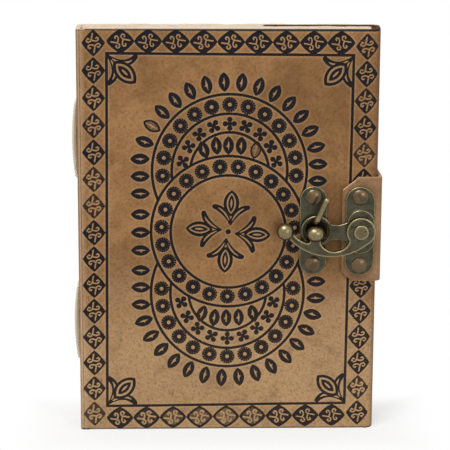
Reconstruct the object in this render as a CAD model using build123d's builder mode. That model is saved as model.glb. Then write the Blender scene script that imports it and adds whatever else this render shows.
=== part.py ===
"""Leather diary with a swing clasp, standing on its tail edge with the front cover towards -Y.

Sizes are in millimetres. The spine is on the -X side and the fore-edge on the +X side. The origin is on the
tail edge, at the middle of the width and of the fourth section, which stays still when the book opens.
"""

import os
from math import hypot

from build123d import *

os.makedirs("parts", exist_ok=True)

# Covers
cover_width = 130.0
cover_height = 178.0
leather = 2.0
board = 1.5
board_setback = 3.0
flap_depth = 50.0
flap = 1.6
hinge_gap = 0.3
spine_corner_radius = 1.5

# Folded sections of leaves, the first of them tucked under the front flap
tucked_section = 3.0
section = 1.6
section_gap = 0.3
fixed_gap = 0.1
leaf_stand_proud = 0.8
leaf_setback = 1.0

# Sewing threads, one along each section's fold, with two long stitches each
thread_diameter = 1.3
thread_bow = 0.4
thread_bend_radius = 1.3
stitch_length = 33.0
upper_stitch_z = 130.0
lower_stitch_z = 48.5
thread_hole_clearance = 0.05

# Strap from the back cover round the fore-edge to the front
strap = 1.5
strap_height = 46.2
strap_clearance = 0.3
strap_bend_radius = 3.0
tab_reach = 7.9
tab_corner_width = 7.2
tab_corner_height = 5.7
tab_lower_corner = 4.4
tail_length = 42.0

# Place of the clasp's pivot on the front cover, from the fore-edge and the tail edge
pivot_from_edge = 7.6
pivot_height = 91.1
strap_middle_above_pivot = 0.25

# Clasp plates and their rivets, measured from the pivot, right and up
plate = 1.2
plate_length = 39.4
plate_edge_round = 0.35
hasp_width = 12.7
hasp_middle = (-0.3, -0.4)
hasp_rivet_spacing = 30.1
catch_width = 11.8
catch_middle = (-20.4, -0.4)
catch_rivet_spacing = 29.6
rivet_head_diameter = 6.9
rivet_head_height = 1.1
rivet_diameter = 3.0
rivet_washer_diameter = 7.0
rivet_washer = 0.7
fit_clearance = 0.03
pocket_clearance = 0.2

# Raised pad and ring of the hasp
pad = 1.2
pad_length = 19.3
pad_width = 11.9
pad_middle = (0.1, -0.4)
ring_middle = (-19.2, 0.0)
ring_diameter = 13.6
ring_hole_diameter = 11.2
neck_top = ((-17.4, 6.2), (-11.2, 2.8), (-4.5, 4.8))
neck_bottom = ((-15.2, -4.8), (-10.3, -4.0), (-4.5, -5.4))

# Horn on the catch plate, which leans over the top of the ring
horn_diameter = 2.3
horn_root = (-19.7, 4.0)
horn_tip = (-15.4, 14.4)
horn_rise = 6.6
horn_tip_height = 8.4
horn_bend_radius = 3.5

# Swing arm, which turns on the pivot rivet
arm = 2.0
arm_edge_round = 0.4
eye_diameter = 12.6
arm_corner_round = 0.6
arm_lower_edge = ((4.0, -4.6), (-13.0, -11.1), (-32.4, -1.6))
arm_upper_left_edge = ((-30.2, 1.4), (-27.0, -3.0))
arm_upper_right_edge = ((-10.9, -8.65), (-4.9, -3.2))
stub_ball_middle = (-19.8, -0.6)
stub_ball_diameter = 6.4
stub_ball_height = 2.0
stub_neck_width = 4.8
stub_neck_length = 4.3
end_ball_middle = (-32.85, 0.2)
end_ball_diameter = 6.3
pivot_head_diameter = 6.5
pivot_head_height = 1.1
pivot_diameter = 3.6
pivot_tail_diameter = 4.8
pivot_tail = 1.0
pivot_clearance = 0.05
washer = 0.3
washer_diameter = 6.4

# Layers from the front face to the back face
cover_edge = cover_width / 2
pocket_depth = leather + board + tucked_section + flap
moving_leaves = 2 * (section_gap + section) + section_gap
fixed_leaves = 2 * section + fixed_gap
thickness = pocket_depth + moving_leaves + fixed_leaves + board + leather
front_face = -pocket_depth - moving_leaves - section / 2
back_face = front_face + thickness
leather_back = front_face + leather
board_back = leather_back + board
flap_front = board_back + tucked_section
flap_back = flap_front + flap
back_board_front = back_face - leather - board
back_leather_front = back_face - leather
spine_inside = leather - cover_edge
leaf_height = cover_height + leaf_stand_proud

# Turning lines of the front cover and of the strap
hinge_x = leather / 2 - cover_edge
hinge_y = front_face + leather / 2
strap_hinge_x = cover_edge + strap_clearance + strap / 2
strap_hinge_y = back_face + strap / 2

# Fold of the front leather at the fore-edge
fold_x = cover_edge - pocket_depth / 2
fold_middle = front_face + pocket_depth / 2
inner_fold_radius = (flap_front - leather_back) / 2

# Levels of the clasp in front of the cover
strap_top = strap_clearance + strap
hasp_top = strap_top + plate
pad_top = hasp_top + pad
arm_level = pad_top + washer
arm_top = arm_level + arm
clasp = Plane(
    origin=(cover_edge - pivot_from_edge, front_face, pivot_height),
    x_dir=(1, 0, 0),
    z_dir=(0, -1, 0),
)


def rivet_places(middle, spacing):
    """Centres of the two rivets of a plate, above and below its middle."""
    return [(middle[0], middle[1] + side * spacing / 2) for side in (1, -1)]


hasp_rivet_places = rivet_places(hasp_middle, hasp_rivet_spacing)
catch_rivet_places = rivet_places(catch_middle, catch_rivet_spacing)

# Front leather: outer panel, round fold at the fore-edge and the flap turned in behind it
with BuildPart() as front_leather:
    with BuildSketch():
        with BuildLine():
            Line((hinge_x, front_face), (fold_x, front_face))
            ThreePointArc((fold_x, front_face), (cover_edge, fold_middle), (fold_x, flap_back))
            Polyline(
                (fold_x, flap_back),
                (cover_edge - flap_depth, flap_back),
                (cover_edge - flap_depth, flap_front),
                (fold_x, flap_front),
            )
            ThreePointArc(
                (fold_x, flap_front),
                (fold_x + inner_fold_radius, flap_front - inner_fold_radius),
                (fold_x, leather_back),
            )
            Line((fold_x, leather_back), (hinge_x, leather_back))
            ThreePointArc(
                (hinge_x, leather_back),
                (hinge_x - leather / 2, hinge_y),
                (hinge_x, front_face),
            )
        make_face()
    extrude(amount=cover_height)
    with BuildSketch(clasp):
        with Locations(*catch_rivet_places):
            Circle(rivet_diameter / 2 + fit_clearance)
    extrude(amount=-leather, mode=Mode.SUBTRACT)
front_leather.part.label = "front_leather"
export_step(front_leather.part, "parts/front_leather.step")

# Front board behind the leather, with pockets for the rivet washers
with BuildPart() as front_board:
    board_left = hinge_x + board_setback
    with BuildSketch():
        with Locations(((board_left + fold_x) / 2, (leather_back + board_back) / 2)):
            Rectangle(fold_x - board_left, board)
    extrude(amount=cover_height)
    with BuildSketch(clasp.offset(-leather)):
        with Locations(*catch_rivet_places):
            Circle(rivet_washer_diameter / 2 + pocket_clearance)
    extrude(amount=-board, mode=Mode.SUBTRACT)
front_board.part.label = "front_board"
export_step(front_board.part, "parts/front_board.step")

# Sections of folded leaves, each with a round fold at the spine
fold_end = spine_inside + section_gap
first_section_middle = board_back + tucked_section / 2
second_section_middle = flap_back + section_gap + section / 2
third_section_middle = second_section_middle + section + section_gap
fourth_section_middle = third_section_middle + section + section_gap
fifth_section_middle = fourth_section_middle + section + fixed_gap
leaf_edge = cover_edge - leaf_setback
sections = (
    ("signature_1", first_section_middle, tucked_section, fold_x),
    ("signature_2", second_section_middle, section, leaf_edge),
    ("signature_3", third_section_middle, section, leaf_edge),
    ("signature_4", fourth_section_middle, section, leaf_edge),
    ("signature_5", fifth_section_middle, section, leaf_edge),
)
for name, middle, depth, edge in sections:
    fold_middle_x = fold_end + depth / 2
    with BuildPart() as signature:
        with BuildSketch():
            with Locations((fold_middle_x, middle)):
                Circle(depth / 2)
            with Locations(((fold_middle_x + edge) / 2, middle)):
                Rectangle(edge - fold_middle_x, depth)
        extrude(amount=leaf_height)
    signature.part.label = name
    export_step(signature.part, f"parts/{name}.step")

# Spine leather, pierced where the sewing threads go through
stitch_ends = [
    stitch_z + side * stitch_length / 2
    for stitch_z in (lower_stitch_z, upper_stitch_z)
    for side in (-1, 1)
]
with BuildPart() as spine_leather:
    spine_front = leather_back + hinge_gap
    with BuildSketch():
        with Locations((hinge_x, (spine_front + back_leather_front) / 2)):
            Rectangle(leather, back_leather_front - spine_front)
    extrude(amount=cover_height)
    with BuildSketch(Plane(origin=(-cover_edge, 0, 0), x_dir=(0, 1, 0), z_dir=(1, 0, 0))):
        with Locations(*[(row[1], z) for row in sections for z in stitch_ends]):
            Circle(thread_diameter / 2 + thread_hole_clearance)
    extrude(amount=leather, mode=Mode.SUBTRACT)
spine_leather.part.label = "spine_leather"
export_step(spine_leather.part, "parts/spine_leather.step")

# Sewing threads: each long stitch comes out of one hole, bows outwards and goes in at the next
thread_outside = -cover_edge - thread_bend_radius
for number, row in enumerate(sections, start=1):
    with BuildPart() as sewing_thread:
        for stitch_z in (lower_stitch_z, upper_stitch_z):
            foot = stitch_z - stitch_length / 2
            head = stitch_z + stitch_length / 2
            with BuildLine(Plane(origin=(0, row[1], 0), x_dir=(1, 0, 0), z_dir=(0, -1, 0))) as route:
                FilletPolyline(
                    (spine_inside, foot),
                    (thread_outside, foot),
                    (thread_outside - thread_bow, stitch_z),
                    (thread_outside, head),
                    (spine_inside, head),
                    radius=thread_bend_radius,
                )
            with BuildSketch(Plane(origin=route.line @ 0, z_dir=route.line % 0)):
                Circle(thread_diameter / 2)
            sweep(path=route.line)
    sewing_thread.part.label = f"sewing_thread_{number}"
    export_step(sewing_thread.part, f"parts/sewing_thread_{number}.step")

# Back leather and the board inside it
with BuildPart() as back_leather:
    with BuildSketch():
        with Locations((0, (back_leather_front + back_face) / 2)):
            Rectangle(cover_width, leather)
    extrude(amount=cover_height)
    spine_corner = back_leather.edges().filter_by(Axis.Z).group_by(Axis.X)[0].sort_by(Axis.Y)[-1]
    fillet(spine_corner, spine_corner_radius)
back_leather.part.label = "back_leather"
export_step(back_leather.part, "parts/back_leather.step")

with BuildPart() as back_board:
    back_board_left = spine_inside + section_gap
    with BuildSketch():
        with Locations(((back_board_left + leaf_edge) / 2, (back_board_front + back_leather_front) / 2)):
            Rectangle(leaf_edge - back_board_left, board)
    extrude(amount=cover_height)
back_board.part.label = "back_board"
export_step(back_board.part, "parts/back_board.step")

# Strap tail, sewn flat on the back cover, with its free corners cut off
strap_bottom = pivot_height + strap_middle_above_pivot - strap_height / 2
with BuildPart() as strap_tail:
    tail_start = cover_edge - tail_length
    tail_end = strap_hinge_x - strap / 2 - hinge_gap
    with BuildSketch(Plane.XY.offset(strap_bottom)):
        with Locations(((tail_start + tail_end) / 2, strap_hinge_y)):
            Rectangle(tail_end - tail_start, strap)
    extrude(amount=strap_height)
    tail_corners = strap_tail.edges().filter_by(Axis.Y).group_by(Axis.X)[0]
    chamfer(tail_corners, tab_corner_height)
strap_tail.part.label = "strap_tail"
export_step(strap_tail.part, "parts/strap_tail.step")

# Strap round the fore-edge, bent over on to the front as the tab that carries the hasp
strap_outside = strap_hinge_x + strap / 2
strap_inside = strap_hinge_x - strap / 2
tab_front = front_face - strap_top
tab_back = front_face - strap_clearance
tab_end = clasp.origin.X - tab_reach
inner_bend_radius = strap_bend_radius - strap
with BuildPart() as strap_leather:
    with BuildSketch(Plane.XY.offset(strap_bottom)):
        with BuildLine():
            ThreePointArc(
                (strap_inside, strap_hinge_y),
                (strap_hinge_x, strap_hinge_y + strap / 2),
                (strap_outside, strap_hinge_y),
            )
            Line((strap_outside, strap_hinge_y), (strap_outside, tab_front + strap_bend_radius))
            RadiusArc(
                (strap_outside, tab_front + strap_bend_radius),
                (strap_outside - strap_bend_radius, tab_front),
                strap_bend_radius,
            )
            Polyline(
                (strap_outside - strap_bend_radius, tab_front),
                (tab_end, tab_front),
                (tab_end, tab_back),
                (strap_inside - inner_bend_radius, tab_back),
            )
            RadiusArc(
                (strap_inside - inner_bend_radius, tab_back),
                (strap_inside, tab_back + inner_bend_radius),
                -inner_bend_radius,
            )
            Line((strap_inside, tab_back + inner_bend_radius), (strap_inside, strap_hinge_y))
        make_face()
    extrude(amount=strap_height)
    lower_corner = strap_leather.edges().filter_by(Axis.Y).group_by(Axis.X)[0].sort_by(Axis.Z)[0]
    chamfer(lower_corner, tab_lower_corner)
    upper_corner = strap_leather.edges().filter_by(Axis.Y).group_by(Axis.X)[0].sort_by(Axis.Z)[-1]
    tab_end_face = strap_leather.faces().filter_by(Axis.X).sort_by(Axis.X)[0]
    chamfer(upper_corner, tab_corner_height, tab_corner_width, reference=tab_end_face)
    with BuildSketch(clasp.offset(strap_clearance)):
        with Locations(*hasp_rivet_places):
            Circle(rivet_diameter / 2 + fit_clearance)
        Circle(pivot_tail_diameter / 2 + pocket_clearance)
    extrude(amount=strap, mode=Mode.SUBTRACT)
    with BuildSketch(clasp.offset(strap_clearance)):
        with Locations(*hasp_rivet_places):
            Circle(rivet_washer_diameter / 2 + pocket_clearance)
    extrude(amount=rivet_washer, mode=Mode.SUBTRACT)
strap_leather.part.label = "strap_leather"
export_step(strap_leather.part, "parts/strap_leather.step")

# Catch plate on the front cover
with BuildPart() as catch_plate:
    with BuildSketch(clasp):
        with Locations(catch_middle):
            SlotOverall(plate_length, catch_width, rotation=90)
    extrude(amount=plate)
    fillet(catch_plate.faces().sort_by(Axis.Y)[0].edges(), plate_edge_round)
    with BuildSketch(clasp):
        with Locations(*catch_rivet_places):
            Circle(rivet_diameter / 2 + fit_clearance)
        with Locations(horn_root):
            Circle(horn_diameter / 2 + fit_clearance)
    extrude(amount=plate, mode=Mode.SUBTRACT)
catch_plate.part.label = "catch_plate"
export_step(catch_plate.part, "parts/catch_plate.step")

# Horn: a round pin that stands up through the ring and leans over its top edge
horn_run = (horn_tip[0] - horn_root[0], horn_tip[1] - horn_root[1])
horn_reach = hypot(*horn_run)
horn_plane = Plane(
    origin=clasp.from_local_coords((*horn_root, 0)),
    x_dir=(horn_run[0], 0, horn_run[1]),
    z_dir=(horn_run[1], 0, -horn_run[0]),
)
with BuildPart() as catch_horn:
    with BuildLine(horn_plane) as horn_line:
        FilletPolyline(
            (0, 0),
            (0, horn_rise),
            (horn_reach, horn_tip_height),
            radius=horn_bend_radius,
        )
    with BuildSketch(Plane(origin=horn_line.line @ 0, z_dir=horn_line.line % 0)):
        Circle(horn_diameter / 2)
    sweep(path=horn_line.line)
    with Locations(horn_line.line @ 1):
        Sphere(horn_diameter / 2)
catch_horn.part.label = "catch_horn"
export_step(catch_horn.part, "parts/catch_horn.step")

# Hasp: base plate, raised pad and the ring that drops over the horn, in one casting
with BuildPart() as hasp:
    with BuildSketch(clasp.offset(strap_top)):
        with Locations(hasp_middle):
            SlotOverall(plate_length, hasp_width, rotation=90)
    extrude(amount=plate)
    fillet(hasp.faces().sort_by(Axis.Y)[0].edges(), plate_edge_round)
    with BuildSketch(clasp.offset(hasp_top)):
        with Locations(pad_middle):
            SlotOverall(pad_length, pad_width, rotation=90)
        with BuildLine():
            ThreePointArc(*neck_top)
            Line(neck_top[-1], neck_bottom[-1])
            ThreePointArc(*neck_bottom[::-1])
            Line(neck_bottom[0], neck_top[0])
        make_face()
        with Locations(ring_middle):
            Circle(ring_diameter / 2)
            Circle(ring_hole_diameter / 2, mode=Mode.SUBTRACT)
    extrude(amount=pad)
    fillet(hasp.faces().sort_by(Axis.Y)[0].edges(), plate_edge_round)
    with BuildSketch(clasp.offset(strap_top)):
        with Locations(*hasp_rivet_places):
            Circle(rivet_diameter / 2 + fit_clearance)
        Circle(pivot_diameter / 2 + fit_clearance)
    extrude(amount=plate + pad, mode=Mode.SUBTRACT)
hasp.part.label = "hasp"
export_step(hasp.part, "parts/hasp.step")

# Rivets with domed heads, and the washers that their tails close on
rivet_sets = (
    ("catch", catch_rivet_places, plate, -leather - rivet_washer),
    ("hasp", hasp_rivet_places, hasp_top, strap_clearance),
)
head_ball = (rivet_head_diameter**2 / 4 + rivet_head_height**2) / (2 * rivet_head_height)
for name, places, head_level, tail_level in rivet_sets:
    with BuildPart() as rivets:
        for place in places:
            with BuildSketch(clasp.offset(tail_level)):
                with Locations(place):
                    Circle(rivet_diameter / 2)
            extrude(amount=head_level - tail_level)
            axis_plane = Plane(
                origin=clasp.from_local_coords((*place, head_level)),
                x_dir=(1, 0, 0),
                z_dir=(0, 0, 1),
            )
            with BuildSketch(axis_plane):
                with BuildLine():
                    Line((0, 0), (rivet_head_diameter / 2, 0))
                    RadiusArc((rivet_head_diameter / 2, 0), (0, -rivet_head_height), head_ball)
                    Line((0, -rivet_head_height), (0, 0))
                make_face()
            revolve(axis=Axis(axis_plane.origin, (0, 1, 0)))
    rivets.part.label = f"{name}_rivets"
    export_step(rivets.part, f"parts/{name}_rivets.step")

    with BuildPart() as rivet_washers:
        with BuildSketch(clasp.offset(tail_level)):
            with Locations(*places):
                Circle(rivet_washer_diameter / 2)
                Circle(rivet_diameter / 2 + fit_clearance, mode=Mode.SUBTRACT)
        extrude(amount=rivet_washer)
    rivet_washers.part.label = f"{name}_rivet_washers"
    export_step(rivet_washers.part, f"parts/{name}_rivet_washers.step")

# Pivot rivet: head over the arm, shank through the hasp and a tail behind the plate
with BuildPart() as pivot_rivet:
    with BuildSketch(clasp.offset(strap_top - pivot_tail)):
        Circle(pivot_tail_diameter / 2)
    extrude(amount=pivot_tail)
    with BuildSketch(clasp.offset(strap_top)):
        Circle(pivot_diameter / 2)
    extrude(amount=arm_top + pivot_clearance - strap_top)
    with BuildSketch(clasp.offset(arm_top + pivot_clearance)):
        Circle(pivot_head_diameter / 2)
    extrude(amount=pivot_head_height)
    fillet(pivot_rivet.faces().sort_by(Axis.Y)[0].edges(), arm_edge_round)
pivot_rivet.part.label = "pivot_rivet"
export_step(pivot_rivet.part, "parts/pivot_rivet.step")

# Washer between the pad and the arm
with BuildPart() as pivot_washer:
    with BuildSketch(clasp.offset(pad_top)):
        Circle(washer_diameter / 2)
        Circle(pivot_diameter / 2 + fit_clearance, mode=Mode.SUBTRACT)
    extrude(amount=washer - pivot_clearance)
pivot_washer.part.label = "pivot_washer"
export_step(pivot_washer.part, "parts/pivot_washer.step")

# Swing arm: eye, curved limb, the flat-backed stub ball that fills the ring and the ball at its free end
arm_balls = (
    (stub_ball_middle, stub_ball_diameter, arm_level + stub_ball_height, stub_ball_height),
    (end_ball_middle, end_ball_diameter, arm_level + arm / 2, end_ball_diameter),
)
neck_left = stub_ball_middle[0] - stub_neck_width / 2
neck_right = stub_ball_middle[0] + stub_neck_width / 2
neck_foot = stub_ball_middle[1] - stub_neck_length
with BuildPart() as swing_arm:
    with BuildSketch(clasp.offset(arm_level)) as arm_outline:
        with BuildLine():
            ThreePointArc(*arm_lower_edge)
            Line(arm_lower_edge[-1], arm_upper_left_edge[0])
            ThreePointArc(*arm_upper_left_edge, (neck_left, neck_foot))
            Polyline(
                (neck_left, neck_foot),
                (neck_left, stub_ball_middle[1]),
                (neck_right, stub_ball_middle[1]),
                (neck_right, neck_foot),
            )
            ThreePointArc((neck_right, neck_foot), *arm_upper_right_edge)
            Line(arm_upper_right_edge[-1], arm_lower_edge[0])
        make_face()
        Circle(eye_diameter / 2)
        fillet(arm_outline.vertices(), arm_corner_round)
    extrude(amount=arm)
    fillet(swing_arm.faces().sort_by(Axis.Y)[0].edges(), arm_edge_round)
    for middle, diameter, level, back_depth in arm_balls:
        ball_plane = Plane(
            origin=clasp.from_local_coords((*middle, level)),
            x_dir=(1, 0, 0),
            z_dir=(0, 0, 1),
        )
        with BuildSketch(ball_plane):
            Circle(diameter / 2)
            with Locations((diameter / 2, 0), (0, back_depth + diameter / 2)):
                Rectangle(diameter, diameter, mode=Mode.SUBTRACT)
        revolve(axis=Axis(ball_plane.origin, (0, 1, 0)))
    with BuildSketch(clasp.offset(arm_level)):
        Circle(pivot_diameter / 2 + pivot_clearance)
    extrude(amount=arm, mode=Mode.SUBTRACT)
swing_arm.part.label = "swing_arm"
export_step(swing_arm.part, "parts/swing_arm.step")
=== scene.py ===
import math

import bmesh
import bpy
import numpy as np
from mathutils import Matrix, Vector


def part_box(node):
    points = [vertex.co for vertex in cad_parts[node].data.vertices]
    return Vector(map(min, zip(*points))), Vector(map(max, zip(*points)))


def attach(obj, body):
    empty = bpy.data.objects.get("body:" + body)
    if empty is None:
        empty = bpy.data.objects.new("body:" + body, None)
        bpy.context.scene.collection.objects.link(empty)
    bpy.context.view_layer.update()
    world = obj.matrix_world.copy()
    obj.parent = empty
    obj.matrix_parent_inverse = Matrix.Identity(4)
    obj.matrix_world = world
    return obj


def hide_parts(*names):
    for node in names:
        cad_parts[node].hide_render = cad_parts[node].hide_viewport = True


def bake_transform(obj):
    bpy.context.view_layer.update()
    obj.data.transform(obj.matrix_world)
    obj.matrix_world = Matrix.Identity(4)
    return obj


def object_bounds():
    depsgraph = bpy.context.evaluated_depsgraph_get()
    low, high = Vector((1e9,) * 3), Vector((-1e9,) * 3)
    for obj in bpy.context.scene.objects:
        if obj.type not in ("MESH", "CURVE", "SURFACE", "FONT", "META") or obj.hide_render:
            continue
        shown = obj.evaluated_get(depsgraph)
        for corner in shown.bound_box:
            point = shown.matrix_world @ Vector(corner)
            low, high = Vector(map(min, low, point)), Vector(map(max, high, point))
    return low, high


# A handmade leather diary with a swing clasp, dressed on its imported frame.
# Lengths are in millimetres until a mesh is made. The diary stands on its tail edge:
# x runs from the spine to the fore-edge, y from the front cover to the back, z up to the head.

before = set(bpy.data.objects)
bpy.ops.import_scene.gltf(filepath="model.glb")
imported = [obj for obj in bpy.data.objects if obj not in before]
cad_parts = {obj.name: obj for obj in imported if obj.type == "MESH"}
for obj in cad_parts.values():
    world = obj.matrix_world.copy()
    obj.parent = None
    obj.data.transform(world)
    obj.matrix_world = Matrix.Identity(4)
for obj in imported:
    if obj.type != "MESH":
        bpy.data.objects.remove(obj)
cad_low, cad_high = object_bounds()

MM = 0.001
FULL_TURN = 2 * math.pi
smallest_gap = 1e-6
usual_crease = 38.0


def box_mm(node):
    """Lowest and highest corner of a frame node, in millimetres."""
    low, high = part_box(node)
    return np.array(low) / MM, np.array(high) / MM


def shade(red, green, blue):
    """Linear colour of a shade given as 0 to 255 on screen."""
    screen = np.array([red, green, blue]) / 255
    linear = np.where(screen <= 0.04045, screen / 12.92, ((screen + 0.055) / 1.055) ** 2.4)
    return (*linear.tolist(), 1.0)


# Places read from the frame
front_low, front_high = box_mm("front_leather")
back_low, back_high = box_mm("back_leather")
spine_low, spine_high = box_mm("spine_leather")
strap_low, strap_high = box_mm("strap_leather")
tail_low, tail_high = box_mm("strap_tail")

spine_edge = front_low[0]
fore_edge = back_high[0]
head_edge = front_high[2]
front_face = front_low[1]
back_face = back_high[1]
leather = spine_high[0] - spine_low[0]
flap_back = front_high[1]
flap_front = box_mm("signature_1")[1][1]
fold_start = box_mm("front_board")[1][0]

# Leather work
print_cell = 0.25
print_depth = 0.4
print_edge = 0.26
# Reach, rise and gain of the leather raised beside the print, whose mark also carries a painted highlight
rim_reach = 0.75
rim_rise = 0.12
rim_gain = 1.6
panel_bands = 4
panel_start = spine_edge + 4.0
panel_crease = 70.0
face_inset = 0.05
leather_wave = 0.10
leather_waves = (
    (1.0, 11.0, 29.0, 0.0),
    (1.0, -31.0, 13.0, 1.7),
    (0.5, 5.3, -7.9, 0.6),
    (0.5, 9.1, 4.7, 2.9),
)
wave_share = 0.5
wave_fade = 8.0
edge_round = 0.5
corner_round = 1.5
corner_points = 9
inside_corner = 0.6
inside_cell = 0.6
flap_reach = 50.0
flap_stand = 1.2
flap_cell = 3.0
rise_power = 8
fold_points = (44, 12)
fold_printed_points = 22
fold_wear = 0.6
fold_wear_ramp = (2.2, 1.2)
hinge_wear = 0.35
hinge_side_cell = 0.8
hinge_printed_depth = 0.6
spine_join = -8.6
back_cell = 0.55
back_side_cell = 1.0
back_inside_cell = 6.0
back_printed_depth = 0.2
top_wear_reach = 0.2
creases_from_spine = (0.4, 1.5)
crease_half_width = 0.28
crease_tone = 0.55

# Painted shade on the front cover, between the clasp's plates and round its end ball: middle in x and z,
# half width, half height and strength
painted_shade_spots = ((45.5, 91.0, 9.0, 18.0, 1.0), (22.7, 91.9, 4.2, 4.0, 1.7))

# Border print, measured from the cover's spine edge and down from its head edge
print_middle = (65.0, 89.0)
print_slant = 0.0078
print_taper = 0.0001
stamp_reach = 6.5
border_seed = 7
wreath_seed = 11
frame_line = ((12.45, 10.6), (117.75, 166.7))
frame_line_width = 1.1
row_lozenge = (11.7, 10.1, 1.32)
column_lozenge = (11.5, 10.0, 1.14)
lozenge_line_width = 0.8
top_row = (18.35, 5.4, 11.74, 9)
bottom_row = (18.05, 172.3, 11.77, 9)
worn_row = (0.74, 0.7, 0.64, 0.62, 0.54, 0.62, 0.74, 0.9, 1.0)
spine_column = (6.85, 6.3, 11.71, 15)
fore_column = (123.5, 6.9, 11.74, 15)
row_dye = (0.75, 1.0)
column_dye = (0.55, 0.9)
scroll_width = 0.6
scroll_strokes = (
    ((4.0, -0.35), (2.4, -0.6), (1.25, -0.8)),
    ((1.25, -0.8), (0.5, -1.35), (0.25, -2.1), (0.65, -2.85), (1.4, -2.9), (1.9, -2.35), (1.55, -1.8)),
    ((1.25, -0.8), (0.9, 0.2), (0.8, 1.2), (1.25, 2.05), (2.0, 2.15), (2.4, 1.6), (2.05, 1.1)),
)
edge_line_start = 1.4
head_line_width = 0.9
head_line_dye = (0.35, 0.6)
# A dark line along the tail edge, in the print's dark shade: its width and strength
tail_line_width = 0.8
tail_line_darkness = 0.62

# Wreath print, measured in the same way
ring_middle = (65.1, 88.05)
ring_radii = (33.5, 25.0)
ring_line_width = 1.12
ring_rosettes = (29.0, 23, 8.3)
upper_lobe = (65.55, 61.1)
lower_lobe = (64.85, 115.55)
lobe_radii = (33.4, 24.95, 16.9)
lobe_rosettes = (28.9, 15.7, 6)
lobe_quatrefoils = (20.6, 19.6, 4)
quatrefoil_turn = 45.0
lobe_leaves = (
    (-11.1, 9.3, 20.0),
    (-5.7, 11.1, 7.0),
    (-0.5, 11.2, 0.0),
    (5.0, 11.0, -2.0),
    (11.3, 9.2, -14.0),
)
rosette_dye = (0.85, 1.0)
leaf_dye = (0.7, 1.0)
rosette_radius = 3.3
rosette_eye_radius = 0.85
rosette_teeth = 17
tooth_depth = 0.65
tooth_start = 0.64
tooth_ease = 0.06
tooth_slope = 2.5
tooth_opening = 0.66
petal_place = 1.88
petal_radius = 1.14
petal_root = (0.32, 0.4)
outer_leaf = (8.4, 4.8)
inner_leaf = (8.0, 4.7)
leaf_line_width = 0.75
leaf_flame = (0.6, 0.18)
leaf_spur = (1.0, 0.32)
leaf_spur_place = (0.3, 0.06)
worn_inner_leaf = (-1, 4, 0.52)
worn_outer_leaf = (-1, -5, 0.47)
outer_leaf_radius = 38.7
upper_leaf_turns = (-3.7, 11.17, -6, 7)
lower_leaf_turns = (-3.6, 11.27, -6, 7)
spine_side_leaves = (27.0, (55.8, 63.4, 71.0, 80.2, 88.2, 96.2, 105.2, 112.8, 120.6))
fore_side_leaves = (103.7, (58.2, 65.6, 73.1, 80.5, 88.0, 95.5, 103.0, 110.4, 118.0))
middle_dot = (65.1, 88.0)
middle_dot_radius = 1.1

# Sprigs: knee and tip of a petal, sizes of the leaf's outlines, half widths of petal and slit
middle_sprig = ((6.6, 2.4), (7.6, 7.2), ((11.6, 6.7), (9.4, 4.1), (7.7, 2.5), (4.6, 1.0)), 1.35, 0.42)
middle_sprig_gap = 3.5
middle_sprig_turn = (15.0, 2.5)
corner_sprig = ((9.3, 1.2), (8.5, 8.0), ((13.2, 7.7), (10.2, 5.4), (7.8, 3.4), (4.2, 1.0)), 1.4, 0.55)
corner_sprig_inset = (0.6, 1.1)
corner_sprig_turns = (135, 45)
sprig_reach = 18.0
sprig_leaf_stand = 3.4
sprig_petal_points = 30
sprig_petal_end = 0.5
sprig_petal_swell = (1.1, 0.8)
sprig_slit = (4, 25)
sprig_slit_ends = (0.1, 0.95)
sprig_slit_swell = 0.6

# Leaves of the sections
leaf_pitch = 0.2
leaf_thickness = 0.15
leaf_cell = 3.0
leaf_fold_points = 9
leaf_setback = 1.4
leaf_seed = (100, 3)
leaf_wave = 0.08
leaf_wave_lengths = (17.0, 23.0)
deckle = 0.45
deckle_mean = 0.6
deckle_swing = 0.3
head_deckle = (2.3, 5.1)
tail_deckle = (2.7, 4.3)
fore_deckle = (2.9, 6.1)
fore_deckle_swing = 0.5
fore_deckle_power = 6

# Sewing
strand_count = 3
strand_turn = 4.2
strand_share = 0.56
lay_share = 0.44
tube_sides = 8
stitch_levels = ((32.0, 65.0), (113.5, 146.5))
stitch_bend = 1.0
stitch_bend_points = 9
stitch_cell = 0.35
hole_cell = 0.4
stitch_bows = (1.0, 0.5, 0.8, 0.4, 0.7)
stitch_bow_power = 0.8
stitch_sink = 0.8
seam_inset = 3.2
seam_corner = 4.0
seam_pitch = 3.3
seam_stitch = 2.3
seam_points = 9
seam_rise = 0.45
seam_thread_radius = 0.34

# Strap: each cut corner by its reach along the strap and its depth
strap_bend = 2.2
strap_bend_points = 14
strap_cell = 0.6
tab_upper_corner = (7.2, 5.7)
tab_lower_corner = (4.4, 4.4)
tail_corner = (5.7, 5.7)
strap_bevel = 0.25
strap_shoulder = 0.7
strap_shoulder_reach = 6.0
strap_edge_tone = (0.0, 0.0, 0.3, 1.0, 1.0, 0.3, 0.0, 0.0)
strap_edge_pale = (0.35, 2.0)
strap_edge_dull = 0.3
strap_tab = 20.0
strap_tab_ease = 4.0
# Painted shade along the tab's lower edge: its strength and the columns of the section that it lies on
strap_painted_shade = 0.9
strap_lower_face = slice(12, 15)
# Where the painted highlight lies round the bend, in steps past the tab
strap_bend_highlight = (1.5, 3.0)

# Clasp; the balls of its arm by middle and stretch
metal_cell = 0.2
weld_distance = 0.001
ease_factor = 0.5
ease_rounds = 4
rub_rounds = 3
rub_gain = 10.0
rub_floor = -0.4
knob_rub = 0.6
knob_rub_edge = (0.3, 0.4)
knob_stretch_edge = 0.5
ball_radius = 3.3
end_ball = ((24.55, -18.5, 91.3), (1.2, 1.1, 1.2))
stub_ball = ((37.6, -19.5, 90.5), (1.25, 1.1, 1.06))
# Painted shade in the hollow of the ring: middle in x and z, radius, fade, and the level in y beyond which
# it lies
hollow_shade_middle = (38.2, 91.1)
hollow_shade_radius = 5.4
hollow_shade_fade = 1.2
hollow_shade_level = -16.4

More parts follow.
